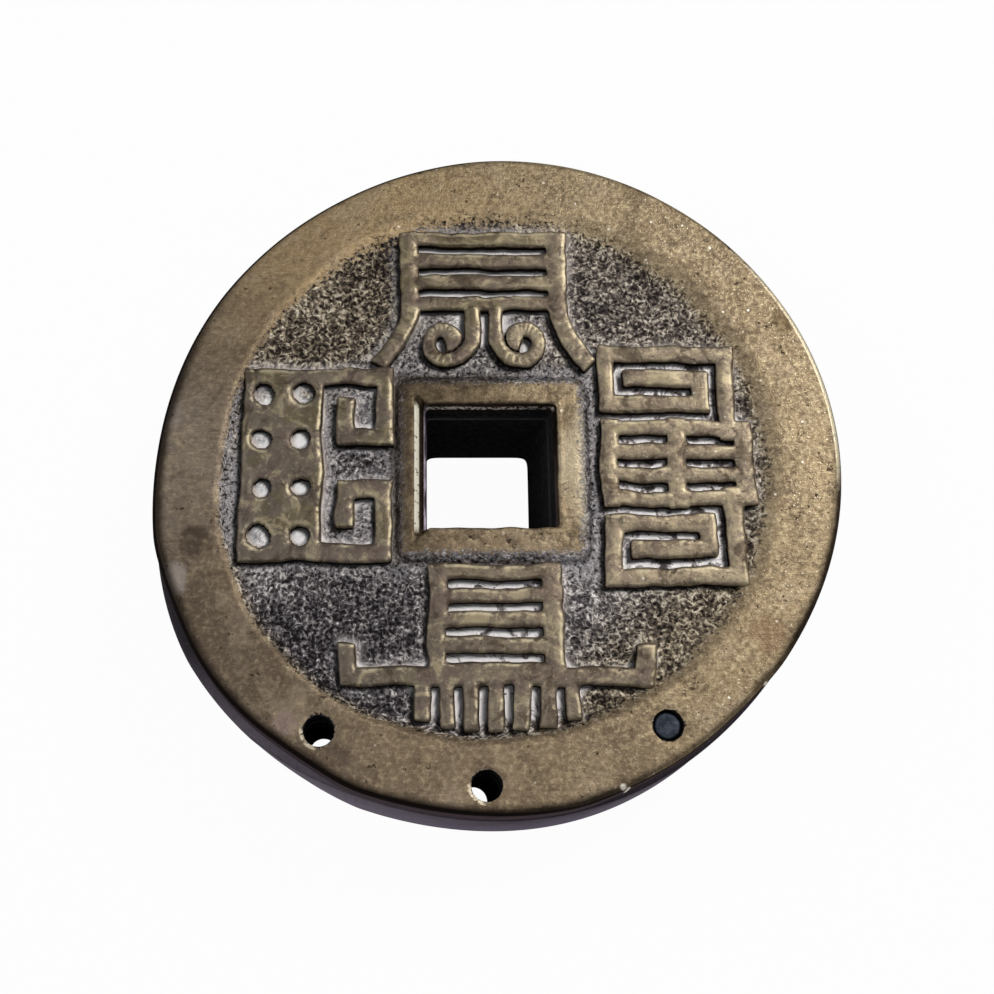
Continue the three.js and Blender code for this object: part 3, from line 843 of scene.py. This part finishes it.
# The rim slopes down softly on the right and at the upper left, and sharply at the lower left.
soft = smoothstep(-0.55, 0.35, np.cos(turn - math.radians(45)))
wander = lumps(np.stack([np.cos(turn) * 9, np.sin(turn) * 9, turn * 0], 1), 1.7, 3)
climb = reach - FIELD_RADIUS + 0.3 + 0.6 * soft + 0.3 * wander
slope = smoothstep(0, 1, climb / (1.5 + 1.5 * soft))
slope = np.where(flat_face, slope, 1.0)
points[:, 2] = np.where(flat_face, FIELD_Z + FIELD_DEPTH * slope, points[:, 2])
points = filed_back(shaped(points))
# The collar isn't straight either, and its left inner edge is worn down to a slope.
near_collar = smoothstep(11.0, 12.4, points[:, 2]) * (1 - smoothstep(9, 11, reach))
points[:, 0] += near_collar * 0.13 * lumps(points, 1.7, 51)
points[:, 1] += near_collar * 0.13 * lumps(points, 1.7, 52)
points[:, 2] += near_collar * smoothstep(5.7, 6.2, reach) * (0.05 * lumps(points, 1.1, 53) - 0.04)
square = np.maximum(np.abs(points[:, 0]), np.abs(points[:, 1]))
worn = smoothstep(-0.3, 0.4, -points[:, 0] - np.abs(points[:, 1]))
worn *= 1 - smoothstep(5.5, 6.6, square)
WORN_LOW = 11.3
points[:, 2] -= 0.8 * worn * np.maximum(points[:, 2] - WORN_LOW, 0)
print("plate vertices", len(points), "of them on the ground", int((slope < 0.5).sum()))

# %% [markdown]
# The lumps of the ground are real relief. Their valleys follow winding lines, which is how a
# rough casting looks, so the noise is folded: its zero lines become the bottoms.

# %% Lumps, dents and masks
warp = np.stack([lumps(points, 0.8, 11), lumps(points, 0.8, 12), points[:, 0] * 0], 1) * 0.25
folded = np.abs(lumps(points + warp, 0.52, 13))
lump = np.clip(folded * 2.6, 0, 1) * 0.65 + (lumps(points, 0.33, 14) * 0.5 + 0.5) * 0.35
steady = points[:, :2] - strayed(points)
gap, beyond, past = (np.full(len(points), 9.0) for _ in range(3))
gap[flat_face], beyond[flat_face], past[flat_face] = (
    gap_to_bars(steady[flat_face] + TOWARD_KEY * step) for step in (0, 0.2, 0.62))
cover = shelter(steady, 0.8)
slot = smoothstep(0.38, 0.52, cover) * (gap > -0.3) * flat_face
bare = np.where(flat_face, 1 - slope, 0)
rugged = bare * (1 - slot * 0.8) * (lump - 0.5)
points[:, 2] += 0.13 * rugged + 0.03 * bare * lumps(points, 1.8, 15)
on_rim = np.where(face, slope, 0)
pit = np.zeros(len(points))
for place, radius in zip(PITS, PIT_RADII):
    away = np.linalg.norm(steady - np.array(place), axis=1)
    pit = np.maximum(pit, smoothstep(radius, radius - 0.3, away))
points[:, 2] += 0.22 * pit * flat_face - 0.06 * slot
points[:, 2] += on_rim * (-0.06 + 0.045 * lumps(points, 5.0, 7))
points[:, 2] += on_rim * flat_face * (1 - soft * 0.3) * 0.012 * lumps(points, 0.5, 16)
# Each row: the place of a dent, its size and its depth.
DENTS = ((-15.7, -22.9, 0.8, 0.2), (-12.4, -24.4, 0.55, 0.12), (-17.0, -21.6, 0.5, 0.12),
         (-11.6, -22.4, 0.4, 0.1), (9.6, -26.0, 0.5, 0.16), (21.2, -18.5, 0.5, 0.14),
         (5.0, -24.9, 0.5, 0.06), (-25.6, 3.0, 0.7, 0.06), (-24.0, -9.6, 0.6, 0.07))
for x, y, size, depth in DENTS:
    away = (points[:, 0] - x) ** 2 + (points[:, 1] - y) ** 2
    points[:, 2] -= np.where(face, depth * np.exp(-away / size ** 2), 0)
for bore in BORES:
    away = np.hypot(points[:, 0] - bore.x, points[:, 1] - bore.y) - BORE_RADIUS
    points[:, 2] -= np.where(face, 0.14 * np.exp(-np.maximum(away, 0) / 0.22), 0)
points[:, 2] = np.minimum(points[:, 2], TOP)
move_to(bm, points)
haze = np.exp(-np.maximum(gap, 0) / 1.1) * smoothstep(0.02, 0.3, cover)
# Painted shadow: a dark crescent inside each pit, on its side towards the key lamp.
crescent = np.zeros(len(points))
for i, (place, radius) in enumerate(zip(PITS, PIT_RADII)):
    aim = np.array(place) + (-0.3, 0.12 * (-1) ** i)
    away, back = (np.linalg.norm(steady - spot, axis=1) for spot in (np.array(place), aim))
    crescent = np.maximum(crescent, (away < radius) * smoothstep(0.75, 0.85, back / radius))
# Painted cast shadow on the lower left of each bar, away from the key lamp, and a painted highlight
# on the side towards it; right along the bars a dark line, partly dirt and partly painted shade.
painted_shadow = smoothstep(0.1, -0.14, past) * (gap > -0.3)
key_side = smoothstep(0.2, 0.8, (beyond - gap) / 0.2)
edge_dirt_and_shade = np.maximum(np.exp(-np.maximum(gap, 0) / 0.14) * (1 - key_side), painted_shadow * 0.95)
edge_dirt_and_shade = np.maximum(edge_dirt_and_shade, crescent * 0.6) * (slope < 0.9) * flat_face
masks = {"lump": lump, "near": edge_dirt_and_shade, "slot": slot, "haze": haze, "brink": brink,
         "slope": np.where(reach > 12, slope, 0),
         "wiped": key_side * np.exp(-np.maximum(gap, 0) / 0.22) * flat_face}
tag(bm, masks)
print("slot share", round(float(slot.mean()), 4), "faces", len(bm.faces))
face_blank = finish(bm, "face_blank", "face_plate", "brass_face", plate_brass, mouth_dirt_and_shade)

# %% [markdown]
# ## Drilling the bores
#
# The bores were drilled after casting and their mouths are slightly countersunk. A cutter of
# the drill's own shape is subtracted, as the drill did it. The result is written back into the
# mesh, so that no cutter has to stay in the scene. The walls of the bores and of the opening get
# the dark finish, partly old dirt and partly painted shade.


# %% Drill
def drilled(piece, places, low, high, lean=(0.0, 0.0)):
    """Cuts round bores into a piece. They lean outwards on their way down, as lean says, in mm
    at the foot."""
    cut = bmesh.new()
    for place in places:
        side = [(0, low), (BORE_RADIUS, low), (BORE_RADIUS, high), (0, high)]
        one = turned(side, 48, closed=False)
        for v in one.verts:
            v.co += place + Vector((*lean, 0)) * ((TOP - v.co.z) / TOP)
        bmesh.ops.scale(one, vec=(MM,) * 3, verts=one.verts)
        mesh = bpy.data.meshes.new("drill")
        one.to_mesh(mesh)
        one.free()
        cut.from_mesh(mesh)
    cutter = solid(cut, "drill")
    boolean = piece.modifiers.new("bores", "BOOLEAN")
    boolean.operation, boolean.solver, boolean.object = "DIFFERENCE", "EXACT", cutter
    mesh = baked(piece)
    piece.modifiers.clear()
    piece.data = mesh
    mesh.set_sharp_from_angle(angle=math.radians(55))
    bpy.data.objects.remove(cutter)
    print(piece.name, "after drilling", len(mesh.polygons), "faces")


LEAN = (-0.6, -0.8)


def dark_walls(piece, below):
    """Gives the walls of the opening and of the bores the second finish: dark, partly as dirt and
    partly as painted shade.
    """
    for face in piece.data.polygons:
        x, y, z = face.center / MM
        tilt, down = abs(face.normal.z), (TOP - z) / TOP
        in_opening = z < below and max(abs(x), abs(y)) < 6.5
        in_bore = any(math.hypot(x - b.x - lean[0] * down, y - b.y - lean[1] * down)
                      < BORE_RADIUS + 0.04 for b, lean in zip(BORES, (LEAN, LEAN, (0, 0))))
        face.material_index = int((in_bore and tilt < 0.3) or (in_opening and tilt < 0.4))


drilled(face_blank, BORES[:2], PLATE_LOW - 1, TOP + 1, LEAN)
drilled(face_blank, BORES[2:], PLATE_LOW - 1, TOP + 1)
dark_walls(face_blank, 11.5)

# %% [markdown]
# ## The raised ornaments
#
# A pattern cut by hand has soft corners and edges that wander. Each bar is laid down as a
# small block, all blocks of an ornament are fused into one skin by a fine voxel remesh, and the
# skin is smoothed and nudged by noise, as casting and wear would have done.


# %% Bars to one worn skin
def block(bm, a, b, width, low, high):
    run = b - a
    turn = Matrix.Rotation(math.atan2(run.y, run.x), 4, "Z")
    middle = (a + b) / 2
    size = Matrix.Diagonal((run.length + overhang(run.length, width), width, high - low, 1))
    place = Matrix.Translation((middle.x, middle.y, (low + high) / 2))
    bmesh.ops.create_cube(bm, size=1.0, matrix=place @ turn @ size)


def ornament(name, bars, seed):
    bm = bmesh.new()
    for a, b, width in bars:
        block(bm, a, b, width + 0.18, FIELD_Z - 0.5, FIELD_Z + RELIEF + 0.06)
    raw = solid(bm, name)
    skin = raw.modifiers.new("skin", "REMESH")
    skin.mode, skin.voxel_size = "VOXEL", 0.11
    fused = baked(raw)
    bpy.data.objects.remove(raw)
    bm = bmesh.new()
    bm.from_mesh(fused)
    for _ in range(8):
        bmesh.ops.smooth_vert(bm, verts=bm.verts, factor=0.5, use_axis_x=True, use_axis_y=True,
                              use_axis_z=True)
    points = points_of(bm)
    inside = -gap_to_bars(points[:, :2], bars)
    high = smoothstep(FIELD_Z + 0.2, FIELD_Z + RELIEF, points[:, 2])
    points[:, 2] -= high * 0.14 * np.exp(-np.maximum(inside, 0) / 0.25)
    points[:, 2] = np.where(inside < -0.12, np.minimum(points[:, 2], FIELD_Z - 0.25), points[:, 2])
    # How far each wall faces the key lamp, for its painted light and shade.
    facing = (gap_to_bars(points[:, :2] + TOWARD_KEY * 0.2, bars) + inside) / 0.2
    points[:, :2] += strayed(points)
    flat = points * [1, 1, 0]
    uneven = 0.07 * lumps(flat, 1.9, seed) + 0.03 * lumps(flat, 0.6, seed + 1)
    points[:, 2] += high * (uneven - 0.02)
    points[:, 2] = np.minimum(points[:, 2], TOP - 0.01)
    move_to(bm, points)
    tag(bm, {"inside": inside, "facing": facing})
    bmesh.ops.recalc_face_normals(bm, faces=bm.faces)
    print(name, "faces", len(bm.faces))
    return finish(bm, name, "face_plate", "brass_face", relief_brass)


for seed, (name, bars) in enumerate(ORNAMENTS.items()):
    ornament("ornament_" + name, bars, 20 + 6 * seed)

# %% [markdown]
# ## The back disc and the joining layer
#
# The disc below is turned in the same way as the plate. Its opening is a little narrower, which
# leaves a fine ledge below the plate, and its foot is rounded so that it doesn't scratch. The
# joining layer is a thin ring that stays back from the outer edge, so it shows as a dark line.

# %% Back disc
foot, head = opening_at(0) - BODY_LEDGE, opening_at(BODY_TOP) - BODY_LEDGE
shoulder, side = side_at(BODY_TOP) - BODY_SHOULDER, BODY_TOP - BODY_SHOULDER
disc = walk([(foot, 0.0), (head, BODY_TOP)], 1.0)
disc += walk([(head, BODY_TOP), (shoulder, BODY_TOP)], 3.0)[1:-1]
disc += arc(shoulder, side, BODY_SHOULDER, 90, 0, 4)
disc += walk([(side_at(BODY_TOP), side), (RADIUS, BODY_FOOT)], 0.45)[1:-1]
disc += arc(RADIUS - BODY_FOOT, BODY_FOOT, BODY_FOOT, 0, -90, 6)
disc += walk([(RADIUS - BODY_FOOT, 0.0), (foot, 0.0)], 3.0)[1:-1]
bm = turned(disc, sides)
points = shaped(points_of(bm))
reach = polar(points)[0]
outside = (reach > 28) & (points[:, 2] > 0.9) & (points[:, 2] < BODY_TOP - 0.3)
dip = np.where(outside, 0.03 + 0.03 * lumps(points, 4.0, 41), 0) / np.maximum(reach, 1)
points[:, :2] *= (1 - dip)[:, None]
move_to(bm, points)
back_disc = finish(bm, "back_disc", "back_body", "dark_back", back_paint, mouth_dirt_and_shade)
drilled(back_disc, BORES[:2], -1, BODY_TOP + 1, LEAN)
drilled(back_disc, BORES[2:], PIN_LOW, BODY_TOP + 1)
dark_walls(back_disc, 9.7)

# %% Joining layer
low, high, outer = opening_at(BODY_TOP), opening_at(PLATE_LOW), side_at(PLATE_LOW) - SEAM_INSET
seam = walk([(low, BODY_TOP), (high, PLATE_LOW)], 1.0)
seam += walk([(high, PLATE_LOW), (outer, PLATE_LOW)], 3.0)[1:]
seam += walk([(outer, BODY_TOP), (low, BODY_TOP)], 3.0)[:-1]
bm = turned(seam, sides // 2)
move_to(bm, filed_back(shaped(points_of(bm))))
seam_ring = finish(bm, "seam_ring", "seam_layer", "dark_bond", seam_paint)
drilled(seam_ring, BORES[:2], BODY_TOP - 1, PLATE_LOW + 1, LEAN)
drilled(seam_ring, BORES[2:], BODY_TOP - 1, PLATE_LOW + 1)

# %% [markdown]
# ## The pin
#
# Only the end of the pin shows. It is turned from a short profile with a chamfer, and its end
# face is slightly dished, as a cut and filed rod is.

# %% Pin
rod = [(0, PIN_LOW), (PIN_RADIUS - 0.2, PIN_LOW), (PIN_RADIUS, PIN_LOW + 0.2),
       (PIN_RADIUS, PIN_TOP - 0.2), (PIN_RADIUS - 0.06, PIN_TOP - 0.06), (PIN_RADIUS - 0.2, PIN_TOP),
       (PIN_RADIUS * 0.5, PIN_TOP - 0.03), (0, PIN_TOP - 0.05)]
bm = turned(rod, 48, closed=False)
bmesh.ops.translate(bm, vec=BORES[2], verts=bm.verts)
pin_end = finish(bm, "pin_end", "rim_pin", "steel_pin", pin_paint)
print("pin faces", len(pin_end.data.polygons))

# %% [markdown]
# ## Floor, light and camera
#
# A plain pale floor catches a soft shadow. It shows as white to the camera and to reflections,
# while the light on the coin comes from three large soft lamps and a grey surrounding.

# %% Floor and surroundings
bm = bmesh.new()
bmesh.ops.create_grid(bm, x_segments=2, y_segments=2, size=2.0)
floor = solid(bm, "floor")
ground = Paint("floor_white")
ground.set(Base_Color=(0.8, 0.8, 0.8, 1.0), Roughness=0.9)
rays = [ground.node("ShaderNodeLightPath", {}, {}, f"Is {kind} Ray")
        for kind in ("Camera", "Glossy", "Transmission")]
seen = rays[0].highest(rays[1]).highest(rays[2]) * 0.965
glow = ground.node("ShaderNodeEmission", {}, {"Color": (1.0, 1.0, 1.0), "Strength": 1.0})
blend = ground.node("ShaderNodeMixShader", {}, {
    0: seen, 1: Sock(ground, ground.surface.outputs[0]), 2: glow})
ground.tree.links.new(blend.socket, ground.tree.nodes["Material Output"].inputs["Surface"])
floor.data.materials.append(ground.material)

world = bpy.data.worlds.new("surroundings")
bpy.context.scene.world = world
world.use_nodes = True
nodes, links = world.node_tree.nodes, world.node_tree.links
sky, white = nodes["Background"], nodes.new("ShaderNodeBackground")
for shade, colour, strength in ((sky, (0.80, 0.82, 0.86, 1), 0.32), (white, (1, 1, 1, 1), 1.0)):
    shade.inputs["Color"].default_value = colour
    shade.inputs["Strength"].default_value = strength
choice, rays = nodes.new("ShaderNodeMixShader"), nodes.new("ShaderNodeLightPath")
for i, output in enumerate((rays.outputs["Is Camera Ray"], sky.outputs[0], white.outputs[0])):
    links.new(output, choice.inputs[i])
links.new(choice.outputs[0], nodes["World Output"].inputs["Surface"])


# %% Lamps
def lamp(name, place, size, power, colour):
    data = bpy.data.lights.new(name, "AREA")
    data.shape, data.size, data.energy, data.color = "DISK", size, power, colour
    light = placed(name, data)
    light.location = place
    aim = Vector((0, 0, 0.01)) - Vector(place)
    light.rotation_euler = aim.to_track_quat("-Z", "Y").to_euler()


lamp("key", (0.19, 0.165, 0.28), 0.12, 0.57, (1.0, 0.98, 0.94))
lamp("fill", (-0.28, 0.02, 0.22), 0.30, 0.3, (0.95, 0.97, 1.0))
lamp("top", (0.02, -0.06, 0.42), 0.25, 0.26, (1.0, 1.0, 1.0))

# %% [markdown]
# The view comes from a fit to the round rim, the bores and the square opening. Its numbers say
# how the coin lies before a camera that looks straight down: its tilt, its distance, and how far
# it lies from the line of sight.

# %% Camera
FOCAL_PIXELS, FRAME_PIXELS = 1200.0, 994.0
MIDDLE_X, MIDDLE_Y = 417.0, 564.0
DISTANCE, TILT, OFFSET = 100.1, (-0.231, -0.0041), (6.22, 8.24)
turn = Matrix.Rotation(math.hypot(*TILT), 3, Vector((*TILT, 0)).normalized())
data = bpy.data.cameras.new("camera")
data.sensor_width = 36.0
data.lens = data.sensor_width * FOCAL_PIXELS / FRAME_PIXELS
data.shift_x = (FRAME_PIXELS / 2 - MIDDLE_X) / FRAME_PIXELS
data.shift_y = (MIDDLE_Y - FRAME_PIXELS / 2) / FRAME_PIXELS
data.clip_start, data.clip_end = 0.005, 10.0
camera = placed("camera", data)
place = turn.transposed() @ Vector((-OFFSET[0], -OFFSET[1], DISTANCE)) + Vector((0, 0, TOP))
camera.matrix_world = Matrix.Translation(place * MM) @ turn.transposed().to_4x4()
bpy.context.scene.camera = camera
bpy.context.scene.view_settings.view_transform = "Standard"
print("camera at mm", [round(v, 1) for v in place])
